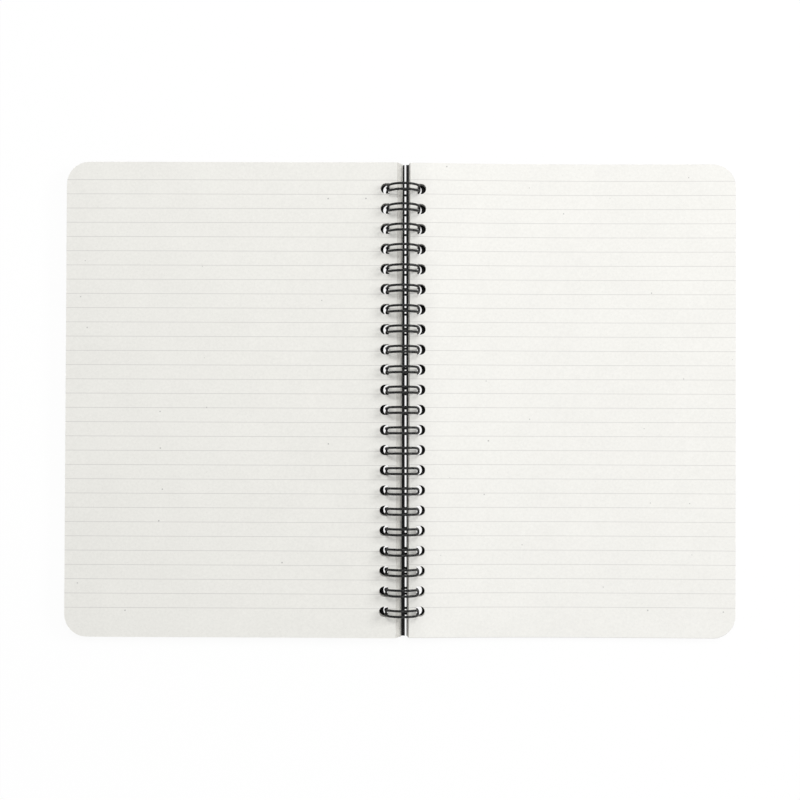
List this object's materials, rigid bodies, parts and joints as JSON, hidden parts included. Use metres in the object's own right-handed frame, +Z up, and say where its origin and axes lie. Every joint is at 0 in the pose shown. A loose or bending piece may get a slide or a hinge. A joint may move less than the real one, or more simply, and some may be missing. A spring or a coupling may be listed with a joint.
{
  "type": "spiral notebook",
  "caption": "Ruled notebook lying open and flat, two stacks of sheets with rounded corners on thin black covers, held by a black twin-loop wire.",
  "frame": {"origin": "middle of the underside of the open book, on the surface that it lies on", "axes": "+X to the right across the open book, +Y up the page, +Z up"},
  "size_m": [0.2824, 0.2, 0.0144],
  "materials": {
    "paper": "matte",
    "cover": "matte",
    "wire": "gloss"
  },
  "bodies": {
    "binding": {"twin_loop_wire": "wire"},
    "front_cover": {"front_cover": "cover"},
    "left_pages": {"left_pages": "paper"},
    "back_cover": {"back_cover": "cover"},
    "right_pages": {"right_pages": "paper"}
  },
  "joints": [
    {"name": "front_cover_turn", "type": "hinge", "parent": "binding", "child": "front_cover", "pos_m": [0.00085, 0, 0.0072], "axis": [0, 1, 0], "range_deg": [0, 180]},
    {"name": "left_pages_turn", "type": "hinge", "parent": "front_cover", "child": "left_pages", "pos_m": [0.00085, 0, 0.0072], "axis": [0, 1, 0], "range_deg": [0, 180]},
    {"name": "back_cover_turn", "type": "hinge", "parent": "binding", "child": "back_cover", "pos_m": [0.00085, 0, 0.0072], "axis": [0, -1, 0], "range_deg": [0, 180]},
    {"name": "right_pages_turn", "type": "hinge", "parent": "back_cover", "child": "right_pages", "pos_m": [0.00085, 0, 0.0072], "axis": [0, -1, 0], "range_deg": [0, 180]}
  ]
}
